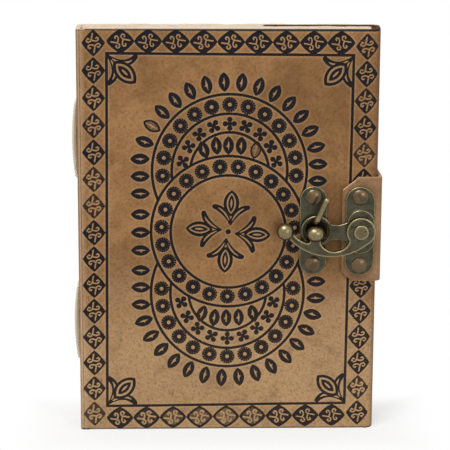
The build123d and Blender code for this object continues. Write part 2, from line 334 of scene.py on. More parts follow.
# Clouds of each material: places per metre, detail, roughness and distortion
hide_clouds = (30.0, 6.0, 0.62, 0.5)
hide_stains = (85.0, 5.0, 0.66, 0.8)
hide_flecks = (760.0, 6.0, 0.8)
hide_wear = (700.0, 3.0, 0.65)
hide_pores = (2600.0, 2.0, 0.5)
hide_cells = 1500.0
metal_blotches = (260.0, 4.0, 0.6, 0.6)
metal_grain = (1500.0, 3.0, 0.6)
metal_scratches = (900.0, 2.0, 0.5)
scratch_stretch = (1.0, 1.0, 9.0)
fibre_tones = (60.0, 4.0, 0.6)
fibre_threads = (900.0, 3.0, 0.6, 1.5)
fibre_tooth = (1400.0, 3.0, 0.6)
fibre_stretch = (1.0, 3.0, 0.35)

# Ranges that the clouds are stretched from, and to
cloud_range = (0.32, 0.68)
stain_range = (0.46, 0.72)
fleck_range = (0.45, 0.66)
# Painted light: the leather grows paler below these heights in metres, with some unevenness
pale_heights = (0.085, 0.03)
pale_unevenness = 0.12
worn_range = (0.5, 0.8, 0.0, 0.22)
dye_range = (0.22, 0.62)
# Painted light also makes the dye paler at the tail by this share
tail_light_on_dye = 0.04
cell_share = 0.6
pore_share = 0.5
bright_range = (0.25, 0.8)
tarnish_range = (0.4, 0.68)
gloss_range = (0.3, 0.7, 0.3, 0.46)
polish_range = (0.35, 0.6, 0.0, 0.06)
rub_break = 0.55
scratch_share = 0.4
thread_range = (0.56, 0.75)

# How far each layer covers the leather below it, and the surfaces
# Painted light makes the tail end paler by this share
pale_cover = 0.62
stain_cover = 0.34
fleck_cover = 0.5
# Painted shade darkens the leather towards the stain's shade by this share
painted_shade_cover = 0.5
# Painted highlights beside the print and at the strap's bend lighten the leather by this share
painted_highlight_cover = 0.5
cut_cover = 1.0
dye_cover = 1.0
thread_cover = 0.4
leather_roughness = 0.66
dye_gloss = 0.12
leather_specular = 0.16
fibre_specular = 0.2
lacquer_roughness = 0.22
leather_relief = (0.5, 0.00016)
metal_relief = (0.25, 0.00008)
fibre_relief = (0.4, 0.0001)
dye_shade = shade(17, 13, 18)
# Colour of the painted shade in the ring's hollow
painted_hollow_shade = shade(24, 20, 14)

# Floor, surround and lamps: place, size and power of each lamp
floor_reach = 6000.0
floor_tone = (0.9, 0.9, 0.9, 1.0)
floor_roughness = 0.9
floor_shadow = (0.0, 0.03, 0.55, 1.0)
surround_level = (0.5, 1.0)
white = (1.0, 1.0, 1.0, 1.0)
light_aim = (0.0, 0.0, 90.0)
key_light = ((-260.0, -520.0, 1050.0), 560.0, 8.0)
fill_light = ((520.0, -900.0, 420.0), 320.0, 1.6)

# Camera, solved from the corners of the front cover in a frame of 450 by 450
photo_size = 450
camera_azimuth = math.radians(-1.91)
camera_elevation = math.radians(13.0)
camera_roll = math.radians(0.27)
camera_distance = 788.0
camera_focal_pixels = 1813.0
camera_target = (0.0, -13.0, 89.0)
camera_far = 50.0
target_pixel = (228.0, 234.2)
sensor_width = 36.0


# Mesh makers


def held(value):
    """Value kept between 0 and 1."""
    return np.clip(value, 0.0, 1.0)


def unit(vectors):
    """The same directions, each of length 1."""
    return vectors / np.linalg.norm(vectors, axis=-1, keepdims=True)


def run_length(path):
    """Length along a path from its start to each of its points."""
    return np.concatenate([[0.0], np.cumsum(np.linalg.norm(np.diff(path, axis=0), axis=1))])


def steps(start, end, spacing):
    """Evenly spaced values from start to end, about one spacing apart."""
    return np.linspace(start, end, max(2, int(round(abs(end - start) / spacing)) + 1))


def arc(middle, radius, start, end, count):
    """Points of a circular arc between two angles in degrees, counted anticlockwise."""
    angle = np.radians(np.linspace(start, end, count))
    return np.stack([middle[0] + radius * np.cos(angle), middle[1] + radius * np.sin(angle)], -1)


def straight(start, end, spacing):
    """Points of a straight line, about one spacing apart."""
    share = steps(0.0, 1.0, spacing / max(math.dist(start, end), spacing))[:, None]
    return np.array(start) * (1 - share) + np.array(end) * share


def joined(*paths):
    """One path from several that follow each other, with each meeting point kept once."""
    points = np.concatenate(paths)
    gap = np.linalg.norm(np.diff(points, axis=0), axis=1)
    return points[np.concatenate([[True], gap > smallest_gap])]


def grid_quads(rows, columns, closed=False):
    """Corner numbers of the cells of a rows by columns grid; closed joins the last column to the first."""
    count = columns if closed else columns - 1
    row, column = np.meshgrid(np.arange(rows - 1), np.arange(count), indexing="ij")
    here = row * columns + column
    beside = row * columns + (column + 1) % columns
    return np.stack([here, beside, beside + columns, here + columns], -1).reshape(-1, 4)


def gathered(parts):
    """Points, faces and caps of several parts as one set, each part numbered after the one before."""
    points, quads, caps = [], [], []
    total = 0
    for part_points, part_quads, part_caps in parts:
        points.append(part_points)
        quads.append(part_quads + total)
        caps += [cap + total for cap in part_caps]
        total += len(part_points)
    return np.concatenate(points), np.concatenate(quads), caps


def round_tube(path, first, second, radius):
    """Round thread along a path: at each point a circle in the plane of two directions, and flat ends."""
    around = np.linspace(0.0, FULL_TURN, tube_sides, endpoint=False)[:, None]
    ring = np.cos(around) * first[:, None, :] + np.sin(around) * second[:, None, :]
    points = (path[:, None, :] + radius * ring).reshape(-1, 3)
    sides = np.arange(tube_sides)
    caps = [sides[::-1], (len(path) - 1) * tube_sides + sides]
    return points, grid_quads(len(path), tube_sides, True), caps


def add_marks(mesh, marks):
    """Named values that the mesh carries per point."""
    for mark, values in marks.items():
        layer = mesh.attributes.new(mark, "FLOAT", "POINT")
        layer.data.foreach_set("value", np.asarray(values, dtype=np.float32).ravel())


def add_object(name, mesh, finish):
    """Object at the origin from a mesh with one finish."""
    mesh.materials.clear()
    mesh.materials.append(finish)
    piece = bpy.data.objects.new(name, mesh)
    bpy.context.scene.collection.objects.link(piece)
    return piece


def add_piece(name, points, quads, finish, caps=(), marks=None, crease=usual_crease):
    """Piece from points in millimetres, four-cornered faces, many-cornered caps and values per point."""
    mesh = bpy.data.meshes.new(name)
    corners = np.concatenate([np.asarray(quads).ravel(), *caps]).astype(np.int32)
    cap_starts = 4 * len(quads) + np.cumsum([0] + [len(cap) for cap in caps])[:-1]
    starts = np.concatenate([np.arange(0, 4 * len(quads), 4), cap_starts]).astype(np.int32)
    mesh.vertices.add(len(points))
    mesh.vertices.foreach_set("co", (np.asarray(points) * MM).astype(np.float32).ravel())
    mesh.loops.add(len(corners))
    mesh.loops.foreach_set("vertex_index", corners)
    mesh.polygons.add(len(starts))
    mesh.polygons.foreach_set("loop_start", starts)
    mesh.polygons.foreach_set("use_smooth", np.ones(len(starts), dtype=bool))
    mesh.update(calc_edges=True)
    mesh.set_sharp_from_angle(angle=math.radians(crease))
    add_marks(mesh, marks or {})
    return add_object(name, mesh, finish)


def settle(piece, body, slot, *nodes):
    """The body that a piece rides on, its slot (not used), and the frame nodes that it stands for."""
    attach(piece, body)
    if nodes:
        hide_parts(*nodes)


def soft_wave(first, second):
    """Slow unevenness of hand-worked leather: a sum of four sine waves of unlike length and direction."""
    return leather_wave * sum(
        height * np.sin(first / first_length + second / second_length + start)
        for height, first_length, second_length, start in leather_waves
    )


# Block print: each stamp gives the dye strength, 0 to 1, around its own middle


def inked(distance):
    """Dye strength from a signed distance: 1 within the outline and 0 outside, over a soft edge."""
    return held(0.5 - distance / print_edge)


def lined(distance, width):
    """Dye strength of a line of some width where the distance is 0."""
    return inked(np.abs(distance) - width / 2)


def turned(across, down, angle):
    """Places along and beside a direction that is turned clockwise from upwards by an angle in degrees."""
    turn = math.radians(angle)
    along = across * math.sin(turn) - down * math.cos(turn)
    beside = across * math.cos(turn) + down * math.sin(turn)
    return along, beside


def oval(along, beside, length, width):
    """Pointed oval: signed distance to the overlap of two equal discs."""
    radius = (length**2 + width**2) / (4 * width)
    return np.hypot(along, np.abs(beside) + radius - width / 2) - radius


def rhomb(along, beside, length, width, fullness=1.0):
    """Signed distance to a rhomb with its corners on the two axes: powers of its two half axes added up.

    Fullness 1 gives straight sides, and more makes them bulge.
    """
    share = np.abs(2 * along / length) ** fullness + np.abs(2 * beside / width) ** fullness
    return (share ** (1 / fullness) - 1) * length * width / 2 / math.hypot(length, width)


def stroke(along, beside, path, half_widths):
    """Distance to a brush stroke: the nearest of its straight pieces, each as wide as its place asks."""
    distance = np.full(np.broadcast(along, beside).shape, np.inf)
    for start, end, first, last in zip(path[:-1], path[1:], half_widths[:-1], half_widths[1:]):
        run = np.asarray(end) - start
        share = held(((along - start[0]) * run[0] + (beside - start[1]) * run[1]) / np.dot(run, run))
        away = np.hypot(along - start[0] - share * run[0], beside - start[1] - share * run[1])
        distance = np.minimum(distance, away - first - share * (last - first))
    return distance


def worn_stamp(edge, inside, line_width, hollow):
    """Dye within an outline: a worn stamp keeps a line along its edge and loses dye inside it."""
    return inked(edge) * np.maximum(hollow * inside, 1 - inked(edge + line_width))


def pip_leaf(size, angle, hollow=1.0):
    """Pointed leaf with an undyed flame in it: a thin upright rhomb with a short spur to one side."""
    length, width = size

    def stamp(across, down):
        along, beside = turned(across, down, angle)
        flame = rhomb(along, beside, length * leaf_flame[0], width * leaf_flame[1])
        spur_along = along + leaf_spur_place[0]
        spur_beside = beside + width * leaf_spur_place[1]
        spur = rhomb(spur_along, spur_beside, leaf_spur[0], width * leaf_spur[1])
        inside = 1 - inked(np.minimum(flame, spur))
        return worn_stamp(oval(along, beside, length, width), inside, leaf_line_width, hollow)
    return stamp


def rosette(across, down):
    """Disc with an undyed eye and a rim cut by fine undyed teeth: a cosine round the disc's outer third."""
    radius = np.hypot(across, down)
    wave = np.cos(rosette_teeth * np.arctan2(down, across))
    rim = held((radius / rosette_radius - tooth_start) / tooth_ease)
    teeth = tooth_depth * held(0.5 + tooth_slope * (wave - tooth_opening)) * rim
    return inked(radius - rosette_radius) * (1 - teeth) * (1 - inked(radius - rosette_eye_radius))


def quatrefoil(angle):
    """Four drop-shaped petals: a disc and a taper towards the middle, repeated every quarter turn."""
    def stamp(across, down):
        direction = np.arctan2(down, across) - math.radians(angle)
        folded = np.mod(direction + math.pi / 4, math.pi / 2) - math.pi / 4
        radius = np.hypot(across, down)
        along = radius * np.cos(folded)
        beside = radius * np.sin(folded)
        disc = np.hypot(along - petal_place, beside) - petal_radius
        root = petal_root[0] + petal_root[1] * along
        taper = np.maximum(np.abs(beside) - root, along - petal_place)
        return inked(np.minimum(disc, taper))
    return stamp


def lozenge(upright, hollow=1.0):
    """Rhomb with two undyed scrolls, the second turned half round: a stem and two arms that curl back."""
    size = column_lozenge if upright else row_lozenge

    def stamp(across, down):
        along, beside = (-down, across) if upright else (across, down)
        scroll = np.inf
        for way in (1, -1):
            for path in scroll_strokes:
                half_widths = (scroll_width / 2,) * len(path)
                scroll = np.minimum(scroll, stroke(way * along, way * beside, path, half_widths))
        return worn_stamp(rhomb(along, beside, *size), 1 - inked(scroll), lozenge_line_width, hollow)
    return stamp


def sprig(angle, knee, tip, leaf_rings, petal_middle, slit_middle):
    """Three-leaf sprig: a leaf outlined twice, in front of two curling petals with an undyed slit each.

    A petal runs along a quadratic curve from the root towards the knee and into the tip.
    """
    share = np.linspace(0.0, 1.0, sprig_petal_points)
    bend = share[:, None]
    petal = 2 * bend * (1 - bend) * np.array(knee) + bend**2 * np.array(tip)
    power, reach = sprig_petal_swell
    petal_width = sprig_petal_end + (petal_middle - sprig_petal_end) * np.sin(math.pi * share**power * reach)
    slit = petal[slice(*sprig_slit)]
    slit_share = np.linspace(*sprig_slit_ends, len(slit))
    slit_width = slit_middle * np.sin(math.pi * slit_share) ** sprig_slit_swell
    place = leaf_rings[0][0] / 2 + sprig_leaf_stand

    def stamp(across, down):
        along, beside = turned(across, down, angle)
        beside = np.abs(beside)
        slits = inked(stroke(along, beside, slit, slit_width))
        petals = inked(stroke(along, beside, petal, petal_width)) * (1 - slits)
        outline, band, ring, core = [inked(oval(along - place, beside, *size)) for size in leaf_rings]
        return np.maximum(petals * (1 - outline), outline * (1 - band) + ring * (1 - core))
    return stamp


def slant_spot(across, down):
    """Place on the leather of a spot of the border: upright lines lean and level lines draw together."""
    return (
        across - print_slant * (down - print_middle[1]),
        down + print_taper * (across - print_middle[0]) * (print_middle[1] - down),
    )


def round_spot(middle, radius, degrees, way=-1):
    """Spot on a circle at an angle in degrees from straight up, or from straight down where way is 1."""
    angle = math.radians(degrees)
    return middle[0] + radius * math.sin(angle), middle[1] + way * radius * math.cos(angle)


def pressed_rim(tone, cell):
    """Leather pushed up beside the print: the print's tone spread over a short reach, less the tone. The
    same mark carries a painted highlight that lightens the leather there.
    """
    reach = max(1, int(round(rim_reach / cell / 2)))
    margin = 2 * reach
    spread_tone = np.pad(tone, margin, mode="edge")
    for axis in (0, 1, 0, 1):
        shifted = [np.roll(spread_tone, step, axis) for step in range(-reach, reach + 1)]
        spread_tone = np.mean(shifted, axis=0)
    spread_tone = spread_tone[margin:-margin, margin:-margin]
    return held(rim_gain * spread_tone - tone) * (1 - tone)


def press(tone, across, down, spot, stamp, reach, strength=1.0):
    """Presses one stamp: its dye strength replaces what is there where it is stronger."""
    columns = np.flatnonzero(np.abs(across - spot[0]) < reach)
    rows = np.flatnonzero(np.abs(down - spot[1]) < reach)
    if len(columns) and len(rows):
        part = np.ix_(rows, columns)
        pressed = stamp(across[columns][None, :] - spot[0], down[rows][:, None] - spot[1])
        tone[part] = np.maximum(tone[part], strength * pressed)


def border_stamps():
    """Spot, stamp and dye range of each lozenge of the border: two rows, then two columns."""
    for start, level, pitch, count in (top_row, bottom_row):
        for number in range(count):
            hollow = worn_row[number] if level > print_middle[1] else 1.0
            yield slant_spot(start + number * pitch, level), lozenge(False, hollow), row_dye
    for level, start, pitch, count in (spine_column, fore_column):
        for number in range(count):
            yield slant_spot(level, start + number * pitch), lozenge(True), column_dye


def wreath_stamps():
    """Spot, stamp and dye range of each rosette, quatrefoil and leaf of the wreath."""
    lobes = ((upper_lobe, -1, upper_leaf_turns), (lower_lobe, 1, lower_leaf_turns))
    for middle, way, (first, turn, low, high) in lobes:
        radius, pitch, count = lobe_rosettes
        for number in range(-count, count + 1):
            yield round_spot(middle, radius, number * pitch, way), rosette, rosette_dye
        radius, pitch, count = lobe_quatrefoils
        for number in range(-count, count + 1):
            facing = -way * (number * pitch + quatrefoil_turn) if number else 0.0
            yield round_spot(middle, radius, number * pitch, way), quatrefoil(facing), leaf_dye
        for number, (side, level, lean) in enumerate(lobe_leaves):
            hollow = worn_inner_leaf[2] if (way, number) == worn_inner_leaf[:2] else 1.0
            spot = (middle[0] + side, middle[1] + way * level)
            yield spot, pip_leaf(inner_leaf, way * lean, hollow), leaf_dye
        for number in range(low, high + 1):
            turned_by = first + number * turn
            facing = turned_by if way < 0 else 180.0 - turned_by
            hollow = worn_outer_leaf[2] if (way, number) == worn_outer_leaf[:2] else 1.0
            spot = round_spot(middle, outer_leaf_radius, turned_by, way)
            yield spot, pip_leaf(outer_leaf, facing, hollow), leaf_dye
    for (side, levels), facing in ((spine_side_leaves, -90.0), (fore_side_leaves, 90.0)):
        for level in levels:
            yield (side, level), pip_leaf(outer_leaf, facing), leaf_dye
    radius, count, first = ring_rosettes
    for number in range(count):
        yield round_spot(ring_middle, radius, first + number * 360.0 / count), rosette, rosette_dye


def printed(across, down, lines, stamps, sprigs, seed):
    """Dye strength of a print: the strongest of its lines, its stamps by chance, and its sprigs."""
    random = np.random.default_rng(seed)
    tone = np.zeros((len(down), len(across)))
    for line in lines:
        tone = np.maximum(tone, line)
    for spot, stamp, dye in stamps:
        press(tone, across, down, spot, stamp, stamp_reach, random.uniform(*dye))
    for spot, stamp in sprigs:
        press(tone, across, down, spot, stamp, sprig_reach)
    return tone


def border_print(across, down):
    """Dye strength of the border: rows and columns of lozenges, and a frame line with a sprig per corner."""
    (left, top), (right, bottom) = frame_line
    shifted_across = across + print_slant * (down[:, None] - print_middle[1])
    pull = print_taper * (across - print_middle[0])
    shifted_down = down[:, None] - pull * (print_middle[1] - down[:, None])
    outside = np.maximum(
        np.abs(shifted_across - (left + right) / 2) - (right - left) / 2,
        np.abs(shifted_down - (top + bottom) / 2) - (bottom - top) / 2,
    )
    head = held(edge_line_start - down / head_line_width)[:, None]
    head_dye = held(head_line_dye[0] + across / fore_column[0] * head_line_dye[1])
    tail = held(edge_line_start - (head_edge - down) / tail_line_width)[:, None]
    lines = (lined(outside, frame_line_width), head * head_dye, tail_line_darkness * tail)
    inset_across, inset_down = corner_sprig_inset
    sprigs = []
    for side, way in ((left + inset_across, 1), (right - inset_across, -1)):
        for level, turn in zip((top + inset_down, bottom - inset_down), corner_sprig_turns):
            sprigs.append((slant_spot(side, level), sprig(way * turn, *corner_sprig)))
    return printed(across, down, lines, border_stamps(), sprigs, border_seed)


def wreath_print(across, down):
    """Dye strength of the wreath: a ring over two lobes, with rosettes, quatrefoils, leaves and sprigs."""
    def far_from(middle):
        return np.hypot(across - middle[0], down[:, None] - middle[1])

    from_ring = far_from(ring_middle)
    beyond_ring = 1 - inked(from_ring - ring_radii[0])
    lines = [lined(from_ring - radius, ring_line_width) for radius in ring_radii]
    for middle in (upper_lobe, lower_lobe):
        for radius in lobe_radii:
            lines.append(lined(far_from(middle) - radius, ring_line_width) * beyond_ring)
    lines.append(inked(far_from(middle_dot) - middle_dot_radius))
    sprigs = []
    for angle in (0.0, 90.0, 180.0, 270.0):
        spot = round_spot(middle_dot, middle_sprig_gap, angle + middle_sprig_turn[0])
        sprigs.append((spot, sprig(angle + middle_sprig_turn[1], *middle_sprig)))
    return printed(across, down, lines, wreath_stamps(), sprigs, wreath_seed)


# Shader groups: coordinates in metres on the piece itself


def feed(tree, node, inputs):
    """Sets each named input of a node to a value, or links it to a socket."""
    for name, value in inputs.items():
        if isinstance(value, bpy.types.NodeSocket):
            tree.links.new(value, node.inputs[name])
        else:
            node.inputs[name].default_value = value


def add_node(tree, kind, inputs=None, **settings):
    """Outputs of a new node with its settings and inputs."""
    node = tree.nodes.new(kind)
    for name, value in settings.items():
        setattr(node, name, value)
    feed(tree, node, inputs or {})
    return node.outputs


def own_place(tree):
    """Place on the piece itself."""
    return add_node(tree, "ShaderNodeTexCoord")["Object"]


def own_mark(tree, name):
    """Value that the piece carries per point."""
    return add_node(tree, "ShaderNodeAttribute", attribute_name=name)["Fac"]


def noise(tree, place, scale, detail, roughness, distortion=0.0):
    """Cloudy value, 0 to 1, whose clouds are about one over scale metres wide."""
    inputs = {"Vector": place, "Scale": scale, "Detail": detail}
    inputs.update({"Roughness": roughness, "Distortion": distortion})
    return add_node(tree, "ShaderNodeTexNoise", inputs)["Fac"]


def spread(tree, value, low, high, to_low=0.0, to_high=1.0):
    """Value stretched smoothly from one range to another and held at its ends."""
    inputs = {"Value": value, "From Min": low, "From Max": high, "To Min": to_low, "To Max": to_high}
    return add_node(tree, "ShaderNodeMapRange", inputs, interpolation_type="SMOOTHSTEP")["Result"]


def drawn_out(tree, place, scale):
    """Place stretched along the three axes."""
    return add_node(tree, "ShaderNodeMapping", {"Vector": place, "Scale": scale})["Vector"]


def reckon(tree, operation, first, second=0.0):
    """Sum, product or other plain reckoning with two values."""
    return add_node(tree, "ShaderNodeMath", {0: first, 1: second}, operation=operation)[0]


def tint(tree, share, first, second):
    """Mix of two colours, the second one by its share."""
    return add_node(tree, "ShaderNodeMix", {0: share, 6: first, 7: second}, data_type="RGBA")[2]


def relief(tree, height, strength, distance):
    """Normal of a fine relief from a height value."""
    inputs = {"Height": height, "Strength": strength, "Distance": distance}
    return add_node(tree, "ShaderNodeBump", inputs)["Normal"]


def new_group(name, given, outputs):
    """Empty node group with one float input and named float outputs: gives its input socket and its exit."""
    group = bpy.data.node_groups.new(name, "ShaderNodeTree")
    for socket, way in ((given, "INPUT"), *((output, "OUTPUT") for output in outputs)):
        group.interface.new_socket(socket, in_out=way, socket_type="NodeSocketFloat")
    return group, group.nodes.new("NodeGroupInput").outputs[given], group.nodes.new("NodeGroupOutput")


def hide_group():
    """Leather: large clouds of tan, small dark flecks, a tail end made paler by painted light, worn dye and
    a pebbled grain.
    """
    names = ("Cloud", "Stain", "Fleck", "Pale", "Dye", "Grain")
    group, printed, leave = new_group("hide", "Print", names)
    place = own_place(group)
    height = add_node(group, "ShaderNodeSeparateXYZ", {"Vector": place})["Z"]
    cloud = noise(group, place, *hide_clouds)
    uneven = reckon(group, "MULTIPLY", reckon(group, "SUBTRACT", cloud, 0.5), pale_unevenness)
    tail = spread(group, reckon(group, "ADD", height, uneven), *pale_heights)
    worn = spread(group, noise(group, place, *hide_wear), *worn_range)
    dye = spread(group, reckon(group, "SUBTRACT", printed, worn), *dye_range)
    # Painted light also makes the dye paler towards the tail
    kept = reckon(group, "SUBTRACT", 1.0, reckon(group, "MULTIPLY", tail, tail_light_on_dye))
    cells = add_node(group, "ShaderNodeTexVoronoi", {"Vector": place, "Scale": hide_cells}, feature="F1")
    pebble = reckon(group, "MULTIPLY", cells["Distance"], cell_share)
    pores = reckon(group, "MULTIPLY", noise(group, place, *hide_pores), pore_share)
    feed(group, leave, {
        "Cloud": spread(group, cloud, *cloud_range),
        "Stain": spread(group, noise(group, place, *hide_stains), *stain_range),
        "Fleck": spread(group, noise(group, place, *hide_flecks), *fleck_range),
        "Pale": tail,
        "Dye": reckon(group, "MULTIPLY", dye, kept),
        "Grain": reckon(group, "ADD", pebble, pores),
    })
    return group


def metal_group():
    """Cast metal: how far it is rubbed bright, how far it is tarnished, and fine pits and scratches."""
    group, handled, leave = new_group("cast_metal", "Rubbed", ("Bright", "Tarnish", "Gloss", "Pits"))
    place = own_place(group)
    grain = noise(group, place, *metal_grain)
    scratch = noise(group, drawn_out(group, place, scratch_stretch), *metal_scratches)
    broken = reckon(group, "MULTIPLY", reckon(group, "SUBTRACT", grain, 0.5), rub_break)
    rubbed = reckon(group, "ADD", handled, broken)
    dull = spread(group, scratch, *gloss_range)
    polish = spread(group, handled, *polish_range)
    feed(group, leave, {
        "Bright": spread(group, rubbed, *bright_range),
        "Tarnish": spread(group, noise(group, place, *metal_blotches), *tarnish_range),
        "Gloss": reckon(group, "SUBTRACT", dull, polish),
        "Pits": reckon(group, "ADD", grain, reckon(group, "MULTIPLY", scratch, scratch_share)),
    })
    return group


def fibre_group():
    """Handmade paper, board and cotton: slow tone, loose fibres and a tooth."""
    group, fineness, leave = new_group("fibre", "Fineness", ("Tone", "Fibre", "Tooth"))
    scaled = {0: own_place(group), "Scale": fineness}
    place = add_node(group, "ShaderNodeVectorMath", scaled, operation="SCALE")["Vector"]
    threads = noise(group, drawn_out(group, place, fibre_stretch), *fibre_threads)
    feed(group, leave, {
        "Tone": noise(group, place, *fibre_tones),
        "Fibre": spread(group, threads, *thread_range),
        "Tooth": noise(group, place, *fibre_tooth),
    })
    return group


def new_finish(name):
    """Material with an empty surface: gives its tree and its shader."""
    finish = bpy.data.materials.new(name)
    finish.use_nodes = True
    tree = finish.node_tree
    return finish, tree, tree.nodes["Principled BSDF"]


def use_group(tree, group, given, value):
    """Outputs of a group placed in a material."""
    return add_node(tree, "ShaderNodeGroup", {given: value}, node_tree=group)


hide = hide_group()
cast_metal = metal_group()
fibre = fibre_group()


def leather_finish(name, pale, deep, painted_light_tone, stain_and_shade, edge):
    """Vegetable-tanned leather with blue-black block print and cut edges of their own shade."""
    finish, tree, shader = new_finish(name)
    skin = use_group(tree, hide, "Print", own_mark(tree, "print"))
    colour = tint(tree, skin["Cloud"], deep, pale)
    # Painted light: the pale tail end and the rim beside the print; painted shade: the mark under and round
    # the clasp
    for share, cover, over in (
        (skin["Pale"], pale_cover, painted_light_tone),
        (skin["Stain"], stain_cover, stain_and_shade),
        (skin["Fleck"], fleck_cover, stain_and_shade),
        (own_mark(tree, "painted_shade"), painted_shade_cover, stain_and_shade),
        (own_mark(tree, "rim"), painted_highlight_cover, painted_light_tone),
        (own_mark(tree, "cut"), cut_cover, edge),
        (skin["Dye"], dye_cover, dye_shade),
    ):
        colour = tint(tree, reckon(tree, "MULTIPLY", share, cover), colour, over)
    gloss = reckon(tree, "MULTIPLY", skin["Dye"], dye_gloss)
    feed(tree, shader, {
        "Base Color": colour,
        "Roughness": reckon(tree, "SUBTRACT", leather_roughness, gloss),
        "Specular IOR Level": leather_specular,
        "Normal": relief(tree, skin["Grain"], *leather_relief),
    })
    return finish


def metal_finish(name, dull, dark, bright, lacquer):
    """Antiqued brass: dull and tarnished on the flats, rubbed bright on edges and knobs, some lacquered,
    with painted shade in the ring's hollow.
    """
    finish, tree, shader = new_finish(name)
    cast = use_group(tree, cast_metal, "Rubbed", own_mark(tree, "rubbed"))
    colour = tint(tree, cast["Tarnish"], dull, dark)
    colour = tint(tree, cast["Bright"], colour, bright)
    feed(tree, shader, {
        "Base Color": tint(tree, own_mark(tree, "ring_hollow_shade"), colour, painted_hollow_shade),
        "Roughness": cast["Gloss"],
        "Metallic": 1.0,
        "Coat Weight": lacquer,
        "Coat Roughness": lacquer_roughness,
        "Normal": relief(tree, cast["Pits"], *metal_relief),
    })
    return finish


def fibre_finish(name, pale, deep, fineness, roughness):
    """Uncoated fibre: paper, board or cotton."""
    finish, tree, shader = new_finish(name)
    stuff = use_group(tree, fibre, "Fineness", fineness)
    colour = tint(tree, stuff["Tone"], pale, deep)
    feed(tree, shader, {
        "Base Color": tint(tree, reckon(tree, "MULTIPLY", stuff["Fibre"], thread_cover), colour, deep),
        "Roughness": roughness,
        "Specular IOR Level": fibre_specular,
        "Normal": relief(tree, stuff["Tooth"], *fibre_relief),
    })
    return finish


# Finishes: fibre by fineness and roughness, metal by lacquer, after their shades
# Leather shades in each tuple: pale, deep, the lighter shade of the painted light, and the stain's shade,
# which also gives the painted shade
hide_shades = (shade(155, 115, 73), shade(118, 83, 47), shade(192, 158, 117), shade(82, 54, 30))
band_shades = (shade(166, 130, 95), shade(120, 88, 59), shade(164, 130, 96), shade(96, 67, 43))
cover_leather = leather_finish("cover_leather", *hide_shades, shade(70, 46, 36))
back_leather = leather_finish("back_leather", *hide_shades, shade(216, 188, 160))
flap_leather = leather_finish("flap_leather", *hide_shades, shade(92, 50, 44))
band_leather = leather_finish("band_leather", *band_shades, shade(214, 172, 140))
leaf_paper = fibre_finish("leaf_paper", shade(240, 228, 210), shade(220, 203, 180), 1.0, 0.9)
grey_board = fibre_finish("grey_board", shade(206, 194, 170), shade(176, 162, 136), 1.0, 0.9)
cotton = fibre_finish("cotton", shade(232, 222, 202), shade(206, 192, 166), 2.0, 0.95)
aged_brass = metal_finish("aged_brass", shade(80, 77, 62), shade(60, 59, 47), shade(148, 133, 98), 0.0)
rivet_brass = metal_finish("rivet_brass", shade(98, 74, 38), shade(72, 53, 26), shade(116, 96, 62), 0.8)


# Covers and spine


cover_across = steps(panel_start, fold_start, print_cell)
cover_up = steps(0.0, head_edge, print_cell)
cover_tone = np.maximum(
    border_print(cover_across - spine_edge, head_edge - cover_up),
    wreath_print(cover_across - spine_edge, head_edge - cover_up),
)
cover_rim = pressed_rim(cover_tone, print_cell)


def front_panel(number):
    """One band of the front cover: a height field over x and z, lowered where the print is pressed in.

    The face is y = front + depth times dye strength + slow wave, with its head and tail edges rounded over.
    """
    first, last = [(len(cover_up) - 1) * band // panel_bands for band in (number, number + 1)]
    tone = cover_tone[first:last + 1]
    rim = cover_rim[first:last + 1]
    x, z = np.meshgrid(cover_across, cover_up[first:last + 1])
    fade = held(np.minimum(x - panel_start, fold_start - x) / wave_fade)
    to_edge = np.minimum(z, head_edge - z)
    over_edge = np.maximum(edge_round - to_edge, 0.0)
    rounding = edge_round - np.sqrt(edge_round**2 - over_edge**2)
    pressed = print_depth * tone - rim_rise * rim
    y = front_face + face_inset + pressed + wave_share * fade * soft_wave(x, z) + rounding
    face = np.stack([x, y, z], -1).reshape(-1, 3)
    rows, columns = x.shape
    numbers = np.arange(rows * columns).reshape(rows, columns)
    border = np.concatenate([numbers[0, :-1], numbers[:-1, -1], numbers[-1, :0:-1], numbers[:0:-1, 0]])
    lining = face[border]
    lining[:, 1] = front_face + leather
    points = np.concatenate([face, lining])
    behind = rows * columns + np.arange(len(border))
    walls = np.stack([border, behind, np.roll(behind, -1), np.roll(border, -1)], -1)
    quads = np.concatenate([grid_quads(rows, columns), walls])
    # Painted shade under the clasp, between its plates and round its end ball
    painted_shade = np.zeros_like(x)
    for across, up, half_width, half_height, strength in painted_shade_spots:
        spot = strength * np.exp(-(((x - across) / half_width) ** 2) - ((z - up) / half_height) ** 2)
        painted_shade = np.maximum(painted_shade, spot)
    bare = np.zeros(len(border))
    # The rim mark also gives a painted highlight beside the print
    marks = {
        "print": np.append(tone, bare),
        "rim": np.append(rim, bare),
        "cut": np.append(held(1.0 - to_edge / edge_round), bare + 1.0),
        "painted_shade": np.append(painted_shade, bare),
    }
    caps = (behind[::-1],)
    return add_piece(f"front_panel_{number + 1}", points, quads, cover_leather, caps, marks, panel_crease)


